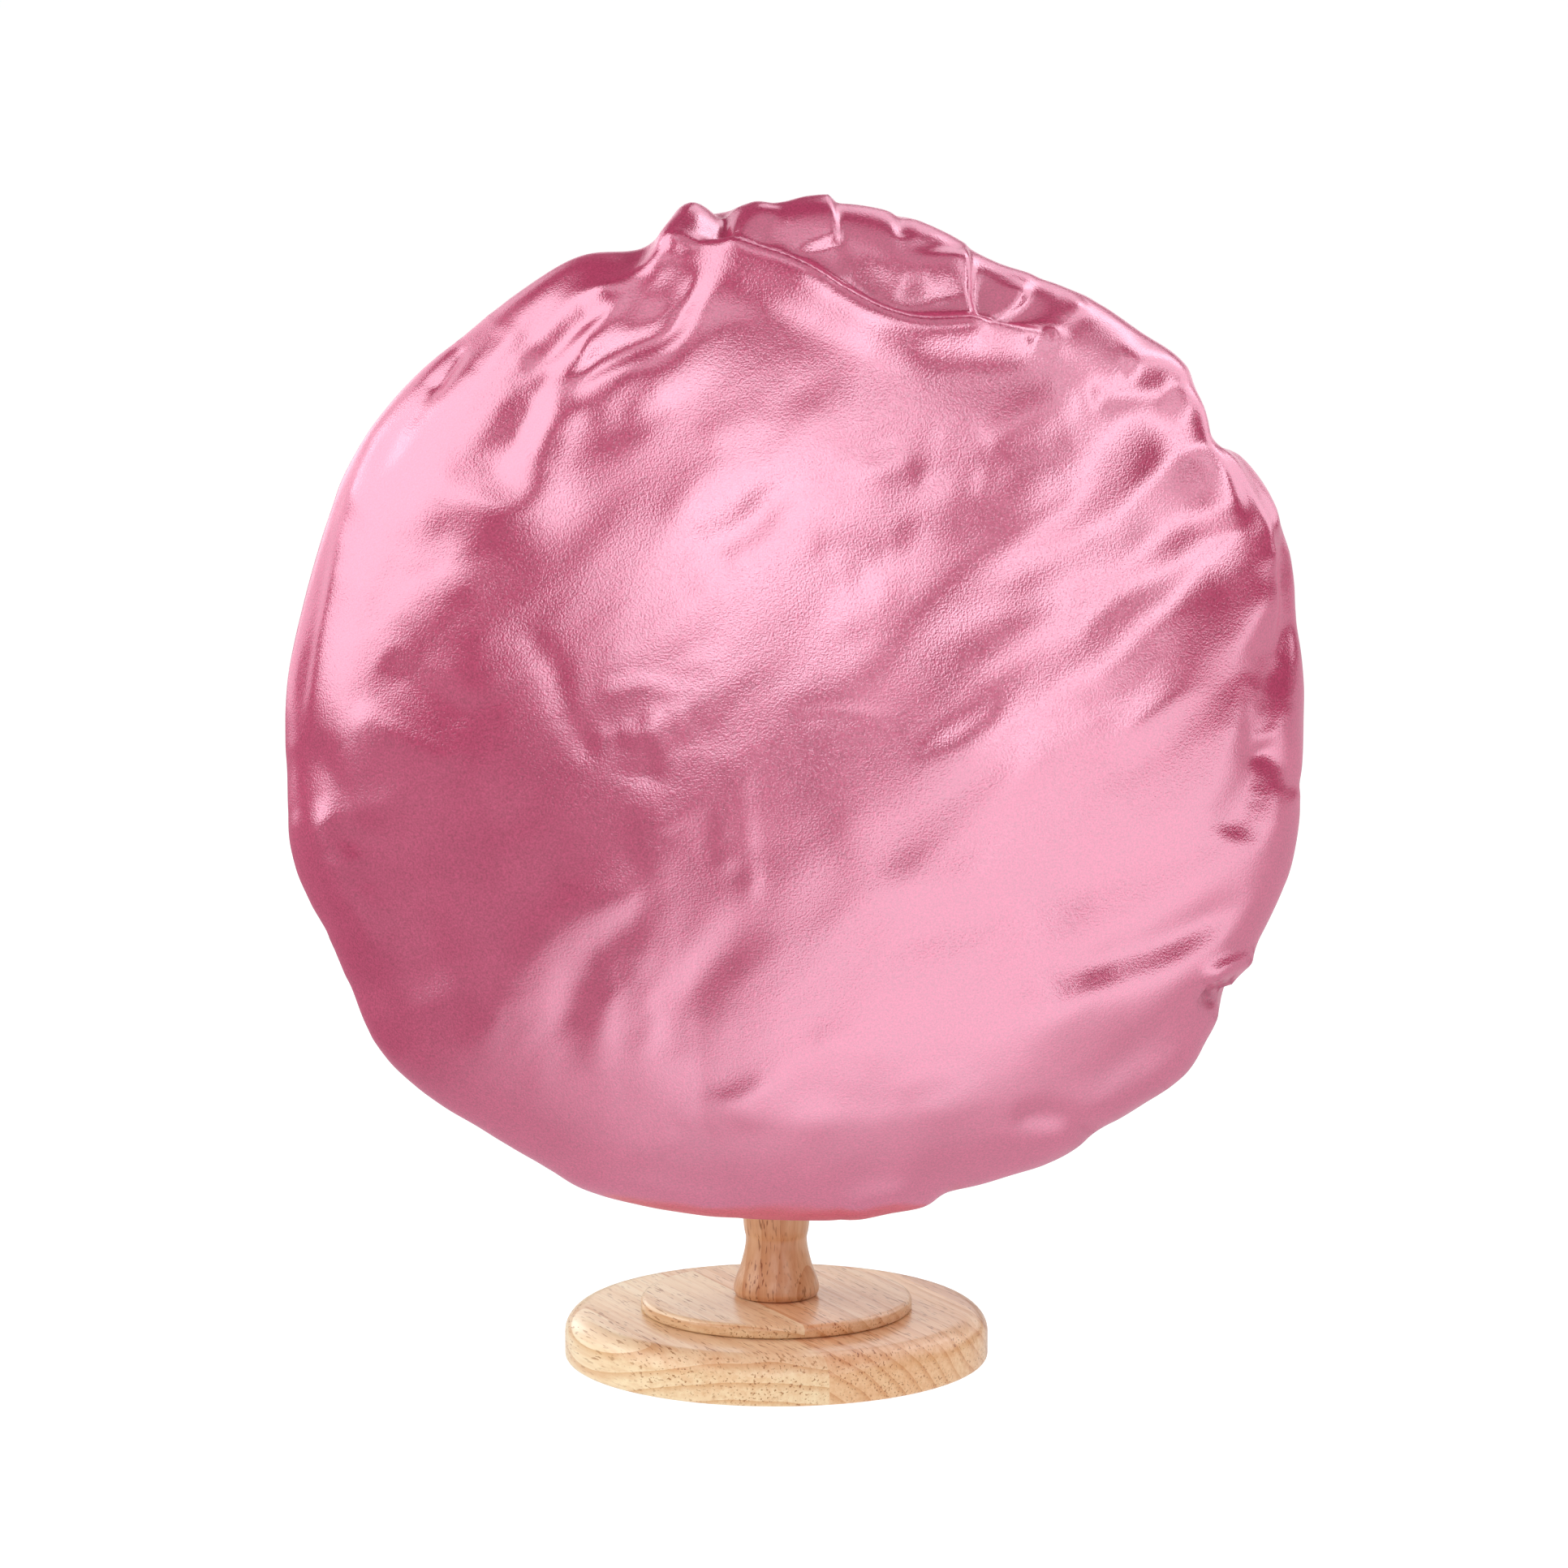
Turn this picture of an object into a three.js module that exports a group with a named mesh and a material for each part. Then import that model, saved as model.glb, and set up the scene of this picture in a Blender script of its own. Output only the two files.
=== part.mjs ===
// A satin sleep bonnet hung by its elastic rim on a turned wooden display stand.
// Millimetres, +Z up. The origin is the centre of the stand's underside, and the bonnet's front faces -Y.
import * as THREE from "three";

const DEG = Math.PI / 180;
const PIECE_GAP = 0.3; // between pieces that rest on each other

// Driving dimensions of the stand
const BASE = { radius: 75, height: 17, shoulderWidth: 9, shoulderDrop: 8, footRound: 1.5 };
const STEP = { radius: 48, height: 4.5, edgeRound: 2 };
const HEAD = { radius: 60, height: 60, centreZ: 262, lowerRound: 6 };
const TURNING = { aroundBase: 48, aroundStep: 40, aroundPost: 24, aroundHead: 32 };

// Radius of the post at heights above the step, from its flared foot to the underside of the head
const POST_PROFILE = [
  { name: "foot edge", up: 0, radius: 14.4 },
  { name: "foot bead", up: 2.2, radius: 15.2 },
  { name: "foot cove", up: 6.0, radius: 14.4 },
  { name: "ankle", up: 12.0, radius: 12.3 },
  { name: "waist", up: 20.0, radius: 10.8 },
  { name: "above waist", up: 28.0, radius: 11.8 },
  { name: "belly", up: 62.0, radius: 13.6 },
  { name: "shaft", up: 150.0, radius: 11.2 },
  { name: "neck", up: 215.0, radius: 11.6 },
  { name: "collar", up: 236.0, radius: 16.0 },
];

// Driving dimensions of the bonnet. Its crown is a puffed bag: a shallow dome in front of its widest ring,
// and behind that ring a wall that curls in to the elastic rim.
const CROWN = {
  centre: new THREE.Vector3(6, -70, 240), // middle of the widest ring
  radius: 172,
  lean: 5, // degrees that the front's top leans back
  frontDepth: 66,
  rearReachTop: 62, // how far the wall runs back from the widest ring before it curls in
  rearReachBottom: 82,
  curlOut: 46,
  curlBack: 14,
  wall: 2,
  seamGap: 0.4, // measured straight back, between the crown's two solids, whose walls slant
};

// The rim is a ring round the head, hung on the head's back where a line at this lean touches it
const BAND = { innerRadius: 85, thickness: 3.2, halfLength: 10, lean: 35, ruche: 0.8, edgeRound: 1.2 };

// Waves of the cloth where the rim draws it in. They lean a little to one side, as gathers on elastic do.
const GATHERS = { count: 15, height: 5, slant: 4 };

// Grid of the crown's wall: steps are finer at the top, where the ruffle is
const GRID = { around: 92, topCrowding: 0.4, frontRings: 12, rearRings: 9 };

// Lumps and dents of the widest ring's outline, by the angle clockwise from its top as seen from the front
const OUTLINE = [
  { name: "upper right dip", at: 25, spread: 9, rise: -9 },
  { name: "upper right corner", at: 48, spread: 5, rise: 2 },
  { name: "upper right notch", at: 56, spread: 4, rise: -6 },
  { name: "right lobe", at: 70, spread: 6, rise: 1 },
  { name: "right side", at: 109, spread: 8, rise: 6 },
  { name: "lower right lobe", at: 131, spread: 11, rise: 9 },
  { name: "lower right heel", at: 151, spread: 5, rise: 4 },
  { name: "bottom left heel", at: 205, spread: 12, rise: 3 },
  { name: "lower left lobe", at: 226, spread: 12, rise: 8 },
  { name: "left lobe", at: 253, spread: 7, rise: 4 },
  { name: "left flat", at: 284, spread: 12, rise: -5 },
  { name: "upper left flat", at: 325, spread: 13, rise: -3.5 },
  { name: "upper left dip", at: 341, spread: 6, rise: -10 },
];

// Folds of the front, as seen from the front: start, end, and how far the middle bows to the left of the way
// between them, in millimetres right of and above the crown's centre. A fold stands out by height, or sinks
// where that is negative, and falls away over the two distances on its left and its right.
const FOLDS = [
  { name: "lip under the ruffle", from: [-34, 151], to: [90, 126], bow: -6, height: 10, falls: [7, 30] },
  { name: "hollow behind the lip", from: [-14, 163], to: [84, 138], bow: -6, height: -9, falls: [16, 8] },
  { name: "top peak", from: [10, 180], to: [12, 152], bow: 0, height: 9, falls: [7, 22] },
  { name: "ruffle edge", from: [58, 162], to: [60, 136], bow: 3, height: 8, falls: [7, 16] },
  { name: "twisted tip", from: [-34, 176], to: [-48, 152], bow: 0, height: 9, falls: [9, 8] },
  { name: "pit by the tip", from: [-22, 172], to: [-30, 150], bow: 0, height: -6, falls: [7, 8] },
  { name: "second upper left ridge", from: [-40, 158], to: [-62, 137], bow: 3, height: 4, falls: [8, 8] },
  { name: "upper left ridge", from: [-16, 152], to: [-106, 76], bow: -10, height: 7, falls: [12, 10] },
  { name: "upper left valley", from: [-6, 142], to: [-98, 68], bow: -10, height: -5, falls: [10, 14] },
  { name: "left shoulder crease", from: [-106, 130], to: [-138, 92], bow: 2, height: -4, falls: [8, 8] },
  { name: "left panel edge", from: [-147, 86], to: [-168, -8], bow: -8, height: 2, falls: [12, 8] },
  { name: "long valley", from: [94, 116], to: [20, 20], bow: 4, height: -4, falls: [18, 22] },
  { name: "right front pleat", from: [126, 106], to: [145, 56], bow: 4, height: 5, falls: [7, 14] },
  { name: "right side pleat", from: [134, 100], to: [162, 18], bow: 5, height: 5, falls: [8, 12] },
  { name: "right pinch", from: [166, 26], to: [158, -30], bow: -6, height: -5, falls: [8, 10] },
  { name: "right pinch tail", from: [160, -12], to: [143, -46], bow: 0, height: -4, falls: [8, 8] },
  { name: "lower right pucker", from: [148, -88], to: [136, -102], bow: 2, height: -6, falls: [8, 8] },
  { name: "lower right ridge", from: [150, -84], to: [84, -96], bow: 5, height: 5, falls: [10, 14] },
  { name: "lower right valley", from: [148, -68], to: [112, -80], bow: 2, height: -4, falls: [9, 9] },
  { name: "bottom fold", from: [14, -158], to: [46, -164], bow: 2, height: 3, falls: [8, 12] },
  { name: "lower left hollow", from: [-140, -26], to: [-118, -94], bow: 0, height: -5, falls: [16, 16] },
];

const smooth = (value, low, high) => {
  const share = THREE.MathUtils.clamp((value - low) / (high - low), 0, 1);
  return share * share * (3 - 2 * share);
};
const bell = (distance, spread) => Math.exp(-((distance / spread) ** 2));
const angleBetween = (a, b) => ((((a - b) % 360) + 540) % 360) - 180;
const upAxis = (lean) => new THREE.Vector3(0, Math.sin(lean * DEG), Math.cos(lean * DEG));
const backAxis = (lean) => new THREE.Vector3(0, Math.cos(lean * DEG), -Math.sin(lean * DEG));

// Direction from a ring's centre at an angle clockwise from its top
function spoke(angle, lean) {
  return upAxis(lean)
    .multiplyScalar(Math.cos(angle * DEG))
    .add(new THREE.Vector3(Math.sin(angle * DEG), 0, 0));
}

const bandAxis = backAxis(BAND.lean);
const bandCentre = upAxis(BAND.lean)
  .multiplyScalar(HEAD.radius + PIECE_GAP - BAND.innerRadius)
  .add(new THREE.Vector3(0, 0, HEAD.centreZ));

const outlineRise = (angle) =>
  OUTLINE.reduce((sum, lump) => sum + lump.rise * bell(angleBetween(angle, lump.at), lump.spread), 0);

// Height of one fold at a place on the front view, by its distance from the fold's bowed line
function foldHeight(fold, x, z) {
  const start = new THREE.Vector2(...fold.from);
  const end = new THREE.Vector2(...fold.to);
  const along = end.clone().sub(start);
  const side = new THREE.Vector2(-along.y, along.x).normalize();
  const offset = new THREE.Vector2(x, z).sub(start);
  const share = offset.dot(along) / along.lengthSq();
  const inside = THREE.MathUtils.clamp(share, 0, 1);
  const across = offset.dot(side) - fold.bow * 4 * inside * (1 - inside);
  const past = (share - inside) * along.length();
  const fall = across > 0 ? fold.falls[0] : fold.falls[1];
  const fade = smooth(inside, -0.1, 0.2) * smooth(1 - inside, -0.1, 0.2);
  return fold.height * fade * bell(across, fall) * bell(past, fall);
}

// The smooth bag. ring runs from 0 at the front centre through 1 at the widest ring to 2 at the rim.
function bagPoint(angle, ring) {
  const rise = outlineRise(angle);
  const radial = spoke(angle, CROWN.lean);
  const back = backAxis(CROWN.lean);
  if (ring <= 1) {
    const turn = ring * 90 * DEG;
    return CROWN.centre
      .clone()
      .addScaledVector(radial, Math.sin(turn) * (CROWN.radius + rise * Math.sin(turn) ** 2))
      .addScaledVector(back, -CROWN.frontDepth * Math.cos(turn));
  }
  const topShare = (1 + Math.cos(angle * DEG)) / 2;
  const reach = THREE.MathUtils.lerp(CROWN.rearReachBottom, CROWN.rearReachTop, topShare);
  const rimSpoke = spoke(angle, BAND.lean);
  const rimRadius = BAND.innerRadius + BAND.thickness + BAND.ruche + PIECE_GAP;
  const widest = CROWN.centre.clone().addScaledVector(radial, CROWN.radius + rise);
  const rim = bandCentre
    .clone()
    .addScaledVector(rimSpoke, rimRadius)
    .addScaledVector(bandAxis, BAND.edgeRound + CROWN.wall - BAND.halfLength);
  return new THREE.CubicBezierCurve3(
    widest,
    widest.clone().addScaledVector(back, reach),
    rim.clone().addScaledVector(rimSpoke, CROWN.curlOut).addScaledVector(bandAxis, CROWN.curlBack),
    rim,
  ).getPoint(ring - 1);
}

// Folds carry on over the widest ring and fade behind it, where the gathers of the rim take over
function reliefAt(angle, ring) {
  const viewRadius = CROWN.radius * Math.sin(Math.min(ring, 1) * 90 * DEG);
  const x = viewRadius * Math.sin(angle * DEG);
  const z = viewRadius * Math.cos(angle * DEG);
  const folds = FOLDS.reduce((sum, fold) => sum + foldHeight(fold, x, z), 0);
  const wave = Math.cos(GATHERS.count * (angle + GATHERS.slant * Math.sin(2 * angle * DEG)) * DEG);
  const gather = GATHERS.height * wave * smooth(ring, 1.1, 1.7) * smooth(2 - ring, 0, 0.3);
  return folds * (1 - smooth(ring, 1.0, 1.4)) + gather;
}

// Outward direction of the smooth bag
function bagNormal(angle, ring) {
  const near = Math.max(ring - 0.01, 0.002);
  const far = Math.min(ring + 0.01, 2);
  const outward = bagPoint(angle, far).sub(bagPoint(angle, near));
  const middle = (near + far) / 2;
  const clockwise = bagPoint(angle + 1, middle).sub(bagPoint(angle - 1, middle));
  return outward.cross(clockwise).negate().normalize();
}

const crownPoint = (angle, ring) =>
  ring === 0
    ? bagPoint(0, 0).addScaledVector(backAxis(CROWN.lean), -reliefAt(0, 0))
    : bagPoint(angle, ring).addScaledVector(bagNormal(angle, ring), reliefAt(angle, ring));

// Turns rows of points, each a closed ring, into faces between neighbouring rows
function ringFaces(rows, indices) {
  for (let row = 0; row + 1 < rows.length; row++) {
    const near = rows[row];
    const far = rows[row + 1];
    for (let i = 0; i < near.length; i++) {
      const next = (i + 1) % near.length;
      indices.push(near[i], far[next], far[i], near[i], near[next], far[next]);
    }
  }
}

function geometryOf(points, indices) {
  const geometry = new THREE.BufferGeometry().setFromPoints(points);
  geometry.setIndex(indices);
  geometry.computeVertexNormals();
  return geometry;
}

const angles = Array.from({ length: GRID.around }, (_, i) => {
  const share = i / GRID.around;
  return 360 * share - (GRID.topCrowding * Math.sin(2 * Math.PI * share) * 180) / Math.PI;
});

// A closed wall of cloth over rings of places, each with an outer and an inner point. A middle place closes
// its front. Without one it is open in front too.
function wallGeometry(rings, middle) {
  const points = [];
  const number = (side) => rings.map((ring) => ring.map((place) => points.push(place[side]) - 1));
  const rows = [...number("outer"), ...number("inner").reverse()];
  const indices = [];
  ringFaces(middle ? rows : [...rows, rows[0]], indices);
  if (middle) {
    const front = points.push(middle.outer) - 1;
    const behind = points.push(middle.inner) - 1;
    rows[0].forEach((corner, i) => {
      const next = (i + 1) % GRID.around;
      indices.push(front, rows[0][next], corner, behind, rows.at(-1)[i], rows.at(-1)[next]);
    });
  }
  return geometryOf(points, indices);
}

// The crown is one cloth, kept as two solids: the front up to its widest ring, and the back from there to the
// rim, a small gap behind it. The inner face is the outer one moved in by the wall.
function crownGeometries() {
  const frontSteps = Array.from({ length: GRID.frontRings }, (_, i) => (i + 1) / GRID.frontRings);
  const rearSteps = Array.from({ length: GRID.rearRings }, (_, i) => 1 + (i + 1) / GRID.rearRings);
  const points = [crownPoint(0, 0)];
  const rows = [...frontSteps, ...rearSteps].map((ring) =>
    angles.map((angle) => points.push(crownPoint(angle, ring)) - 1),
  );
  const faces = [];
  rows[0].forEach((corner, i) => faces.push(0, rows[0][(i + 1) % GRID.around], corner));
  ringFaces(rows, faces);
  const normals = geometryOf(points, faces).getAttribute("normal");
  const places = points.map((outer, i) => {
    const outward = new THREE.Vector3().fromBufferAttribute(normals, i);
    return { outer, inner: outer.clone().addScaledVector(outward, -CROWN.wall) };
  });
  const rings = rows.map((row) => row.map((corner) => places[corner]));
  const widest = rings[GRID.frontRings - 1];
  const gap = backAxis(CROWN.lean).multiplyScalar(CROWN.seamGap);
  const behindWidest = widest.map(({ outer, inner }) => ({
    outer: outer.clone().add(gap),
    inner: inner.clone().add(gap),
  }));
  return {
    front: wallGeometry(rings.slice(0, GRID.frontRings), places[0]),
    back: wallGeometry([behindWidest, ...rings.slice(GRID.frontRings)]),
  };
}

// The elastic casing: a flat ring with rounded edges and small gathers on its outer face
function bandGeometry() {
  const { innerRadius, thickness, halfLength, edgeRound, ruche } = BAND;
  const points = [];
  const everyOther = angles.filter((_, i) => i % 2 === 0);
  const columns = everyOther.map((angle, i) => {
    const outerRadius = innerRadius + thickness + (i % 2 ? ruche : 0);
    const section = [
      { radius: innerRadius, along: edgeRound - halfLength },
      { radius: innerRadius, along: halfLength - edgeRound },
      { radius: innerRadius + thickness / 2, along: halfLength },
      { radius: outerRadius, along: halfLength - edgeRound },
      { radius: outerRadius, along: edgeRound - halfLength },
      { radius: innerRadius + thickness / 2, along: -halfLength },
    ];
    const outward = spoke(angle, BAND.lean);
    return section.map(({ radius, along }) => {
      const corner = bandCentre.clone().addScaledVector(outward, radius).addScaledVector(bandAxis, along);
      return points.push(corner) - 1;
    });
  });
  const indices = [];
  ringFaces([...columns, columns[0]], indices);
  return geometryOf(points, indices);
}

const arc = (centre, radiusX, radiusZ, fromDeg, toDeg, steps) =>
  Array.from({ length: steps + 1 }, (_, i) => {
    const turn = THREE.MathUtils.lerp(fromDeg, toDeg, i / steps) * DEG;
    return new THREE.Vector2(centre[0] + radiusX * Math.cos(turn), centre[1] + radiusZ * Math.sin(turn));
  });

// A turned piece from its profile, given as radius and height from the bottom of the axis to the top
function turned(profile, around) {
  const lathe = new THREE.LatheGeometry(profile, around);
  return lathe.rotateX(90 * DEG);
}

function baseGeometry() {
  const { radius, height, shoulderWidth, shoulderDrop, footRound } = BASE;
  return turned(
    [
      new THREE.Vector2(0, 0),
      new THREE.Vector2(radius - footRound, 0),
      new THREE.Vector2(radius, footRound),
      ...arc([radius - shoulderWidth, height - shoulderDrop], shoulderWidth, shoulderDrop, 0, 90, 6),
      new THREE.Vector2(0, height),
    ],
    TURNING.aroundBase,
  );
}

function stepGeometry() {
  const { radius, height, edgeRound } = STEP;
  return turned(
    [
      new THREE.Vector2(0, 0),
      new THREE.Vector2(radius, 0),
      ...arc([radius - edgeRound, height - edgeRound], edgeRound, edgeRound, 0, 90, 2),
      new THREE.Vector2(0, height),
    ],
    TURNING.aroundStep,
  );
}

function postGeometry(height) {
  const smoothProfile = new THREE.SplineCurve(
    POST_PROFILE.map(({ up, radius }) => new THREE.Vector2(radius, (up * height) / POST_PROFILE.at(-1).up)),
  );
  return turned(
    [new THREE.Vector2(0, 0), ...smoothProfile.getPoints(15), new THREE.Vector2(0, height)],
    TURNING.aroundPost,
  );
}

function headGeometry() {
  const { radius, height, lowerRound } = HEAD;
  return turned(
    [
      new THREE.Vector2(0, -lowerRound),
      ...arc([radius - lowerRound, 0], lowerRound, lowerRound, -90, 0, 3).slice(0, -1),
      ...arc([0, 0], radius, height, 0, 90, 10).slice(0, -1),
      new THREE.Vector2(0, height),
    ],
    TURNING.aroundHead,
  );
}

const SATIN = { color: 0xd97a9c, roughness: 0.35, metalness: 0.1 };
const WOOD = { color: 0xdfb583, roughness: 0.45, metalness: 0 };

function piece(name, geometry, slot, finish, z = 0) {
  const mesh = new THREE.Mesh(geometry, new THREE.MeshStandardMaterial({ name: slot, ...finish }));
  mesh.name = name;
  mesh.position.z = z;
  return mesh;
}

const stepZ = BASE.height + PIECE_GAP;
const postZ = stepZ + STEP.height + PIECE_GAP;
const postHeight = HEAD.centreZ - HEAD.lowerRound - PIECE_GAP - postZ;

const stand = new THREE.Group();
stand.add(
  piece("stand_base", baseGeometry(), "base_wood", WOOD),
  piece("stand_step", stepGeometry(), "step_wood", WOOD, stepZ),
  piece("stand_post", postGeometry(postHeight), "post_wood", WOOD, postZ),
  piece("stand_head", headGeometry(), "head_wood", WOOD, HEAD.centreZ),
);

const crown = crownGeometries();
const bonnet = new THREE.Group();
bonnet.add(
  piece("crown_front", crown.front, "crown_front_satin", SATIN),
  piece("crown_back", crown.back, "crown_back_satin", SATIN),
  piece("band", bandGeometry(), "band_satin", SATIN),
);

const displayedBonnet = new THREE.Group();
displayedBonnet.add(stand, bonnet);

export default displayedBonnet;
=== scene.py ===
"""A satin sleep bonnet hung by its elastic rim on a turned wooden stand.

Metres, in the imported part's frame. Tables are in millimetres and degrees, as in the part's source.
"""

from collections import namedtuple

import bpy
import numpy as np
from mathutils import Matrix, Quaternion, Vector, noise


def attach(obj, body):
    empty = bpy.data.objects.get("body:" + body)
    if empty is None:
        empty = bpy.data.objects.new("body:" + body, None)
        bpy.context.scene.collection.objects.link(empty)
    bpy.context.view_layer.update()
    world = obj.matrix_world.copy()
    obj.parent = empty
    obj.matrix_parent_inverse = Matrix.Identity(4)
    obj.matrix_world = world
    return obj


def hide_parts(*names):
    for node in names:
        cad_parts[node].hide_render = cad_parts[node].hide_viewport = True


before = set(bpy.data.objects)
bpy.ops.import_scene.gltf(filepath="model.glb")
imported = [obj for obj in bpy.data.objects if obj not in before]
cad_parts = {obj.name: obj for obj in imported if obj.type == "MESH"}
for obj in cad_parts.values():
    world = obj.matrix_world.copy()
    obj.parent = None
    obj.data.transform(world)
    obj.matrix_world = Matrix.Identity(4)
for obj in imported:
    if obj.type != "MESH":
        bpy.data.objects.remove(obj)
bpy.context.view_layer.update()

MM = 0.001

# Camera and light

CAMERA_PLACE = (0.0027, -2.0, 0.506)
CAMERA_PITCH = 8.565  # degrees down
LENS = 132.6
SENSOR = 36.0

# Softboxes round the bonnet: azimuth is to the right of the way to the camera, roll turns a box on its face
Light = namedtuple("Light", "name azimuth elevation distance width height roll radiance")
LIGHT_AIM = Vector((0, -0.07, 0.24))
LIGHTS = (
    Light("left softbox", -82, 32, 1.3, 1.6, 1.44, -35, 2.2),
    Light("left back softbox", -137, 14, 1.5, 1.2, 1.1, 0, 1.3),
    Light("upper left softbox", -22, 66, 1.6, 0.9, 0.3, -30, 0.7),
    Light("front softbox", -10.5, 23, 2.6, 0.8, 1.85, -20, 2.35),
    Light("front strip softbox", 7.8, 28, 2.6, 0.5, 2.3, -31, 2.5),
    Light("right softbox", 50.5, 26.5, 1.3, 2.1, 0.34, 40, 2.8),
    Light("right back softbox", 122, 30, 1.5, 1.0, 1.2, 0, 1.8),
    Light("upper right softbox", 60, 53, 1.3, 1.1, 0.26, 36, 1.3),
    Light("top softbox", 15, 78, 1.5, 1.6, 1.0, 0, 0.5),
    Light("back softbox", 155, 40, 2.0, 1.4, 1.0, 0, 1.6),
    Light("low back softbox", 180, 9, 2.2, 3.2, 0.6, 0, 1.3),
)
WORLD_GREY = 0.04

# The bonnet's driving dimensions

CROWN_CENTRE = np.array([6.0, -70.0, 240.0])  # middle of the widest ring
CROWN_RADIUS = 172.0
CROWN_LEAN = 5.0  # degrees that the front's top leans back
FRONT_DEPTH = 66.0
REAR_REACH_TOP = 62.0
REAR_REACH_BOTTOM = 82.0
CURL_OUT = 46.0
CURL_BACK = 14.0
HEAD_RADIUS = 60.0
HEAD_CENTRE_Z = 262.0
PIECE_GAP = 0.3
BAND_INNER_RADIUS = 85.0
BAND_THICKNESS = 3.2
BAND_HALF_LENGTH = 10.0
BAND_LEAN = 35.0
BAND_RUCHE = 0.8
BAND_POINTS_ROUND = 720
BAND_POINTS_ACROSS = 20
BAND_EDGE_WAVE = 0.5
BAND_SQUARING = (0.6, 0.8)  # powers that square off its section, lower for squarer
Pucker = namedtuple("Pucker", "name count turn share")
BAND_PUCKERS = (Pucker("broad", 64, 0, 0.5), Pucker("fine", 101, 40, 0.3))
RIM_BACK = 3.2  # how far behind the band's front edge the crown's rim sits

GRID_CELLS = 304  # across the cloth's square grid, which is bent into a disc
LINING_STEP = 4  # the inner face takes every fourth point of the outer one
FRONT_SHARE = 0.64  # of the grid's rings lie ahead of the widest ring
WALL = 1.2

# The stand's driving dimensions

BASE_RADIUS = 75.0
BASE_HEIGHT = 17.0
BASE_SHOULDER_WIDTH = 9.0
BASE_SHOULDER_DROP = 8.0
BASE_FOOT_ROUND = 1.5
STEP_RADIUS = 48.0
STEP_HEIGHT = 4.5
STEP_EDGE_ROUND = 2.0
HEAD_LOWER_ROUND = 6.0

Section = namedtuple("Section", "name up radius")
POST_PROFILE = (
    Section("foot edge", 0, 14.4),
    Section("foot bead", 2.2, 15.2),
    Section("foot cove", 6, 14.4),
    Section("ankle", 12, 12.3),
    Section("waist", 20, 10.8),
    Section("above waist", 28, 11.8),
    Section("belly", 62, 13.6),
    Section("shaft", 150, 11.2),
    Section("neck", 215, 11.6),
    Section("collar", 236, 16),
)

# Materials

SATIN_DEEP = (0.46, 0.04, 0.115)
SATIN_LIGHT = (0.51, 0.052, 0.134)
SATIN_TINT = (0.95, 0.65, 0.79)
SATIN_IOR = 2.4
SATIN_SHINE = 1.0
SATIN_ROUGHNESS = (0.18, 0.24)
SHEEN = 0.15
SHEEN_ROUGHNESS = 0.4
SHEEN_TINT = (1.0, 0.55, 0.7)
CLOUD_SCALE = 45
GRAIN_SCALE = 1500
GRAIN_DEPTH = 0.00008  # metres
GRAIN_TONES = ((0.25, 0.72), (0.75, 1.28))
THREAD_TURN = 0.6  # radians
THREAD_SCALE = (400, 400, 4200)
THREAD_DEPTH = 0.00002

# Boards of the stand's pieces: the grain's turn from the X axis, the seams' distances across the grain, and a
# tone for each board
Wood = namedtuple("Wood", "name grain_turn upright seams tones")
WOOD_PALE = (0.90, 0.72, 0.46)
WOOD_WARM = (0.84, 0.56, 0.32)
WOOD_PINK = (0.94, 0.80, 0.72)
WOOD_DARK = (0.78, 0.56, 0.38)
WOOD_PORE = (0.50, 0.32, 0.19)
FIBRE_SCALE = (14, 520, 520)  # along the grain and across it
STREAK_SCALE = (5, 75, 75)
PORE_SCALE = (150, 1250, 1250)
PORE_ZONE_SCALE = (9, 100, 100)
PORE_DEPTH = 0.00005  # metres
PITH_OFFSET = (0, 0.035, 0.06)  # metres from the boards to the middle of their growth rings
GROWTH_SCALE = 55.0
VARNISH = 0.35
VARNISH_ROUGHNESS = 0.18
BASE_WOOD = Wood("base_wood_look", 64, False, (-15.4, 61), (WOOD_PALE, WOOD_WARM, (0.70, 0.42, 0.25)))
STEP_WOOD = Wood("step_wood_look", 64, False, (-11.7, 4.5), (WOOD_PALE, WOOD_WARM, (0.80, 0.54, 0.32)))
POST_WOOD = Wood("post_wood_look", 0, True, (), ((0.76, 0.46, 0.25),))
HEAD_WOOD = Wood("head_wood_look", 20, True, (), ((0.80, 0.54, 0.32),))

FLOOR_SIZE = 40.0
FLOOR_GLOW = 1.0
FLOOR_PAINT = (0.1, 0.1, 0.1, 1)
GLOSS_FLOOR_DEPTH = 0.001  # metres below the floor that is seen
GLOSS_SLANT = 0.15
GLOSS_FADE = (-0.31, -0.08)  # metres to the right of the stand, across the slant, over which the painted glow brightens
# Painted light: the glow of the floor that only gloss sees, from its dim left to its bright right
GLOSS_PAINTED_GLOW = (0.13, 1.65)
PAINTED_SHADE_FADE = (-0.3, -0.12)  # metres back from the stand's axis, over which the glow dims into a painted shade of the bonnet
PAINTED_SHADE_SHARE = 0.35

# Lumps and dents of the widest ring's outline, by the angle clockwise from its top as seen from the front
LUMP_REACH = 5  # the higher it is, the closer to the widest ring they stay
Lump = namedtuple("Lump", "name at spread rise")
OUTLINE = (
    Lump("upper right dip", 24, 9, -6),
    Lump("upper right corner", 48, 5, 2),
    Lump("upper right notch", 56, 4, -6),
    Lump("right lobe", 71, 7, 4),
    Lump("right side", 107, 8, 3.5),
    Lump("lower right lobe", 130, 10, 6),
    Lump("lower right heel", 150, 5, 2.5),
    Lump("bottom right flat", 163, 4, -2),
    Lump("bottom left heel", 205, 12, 3),
    Lump("lower left lobe", 230, 13, 9.5),
    Lump("left lobe", 253, 7, 4),
    Lump("left flat", 284, 12, -3),
    Lump("upper left flat", 325, 13, -3.5),
    Lump("upper left dip", 342, 5, -7.5),
)

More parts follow.
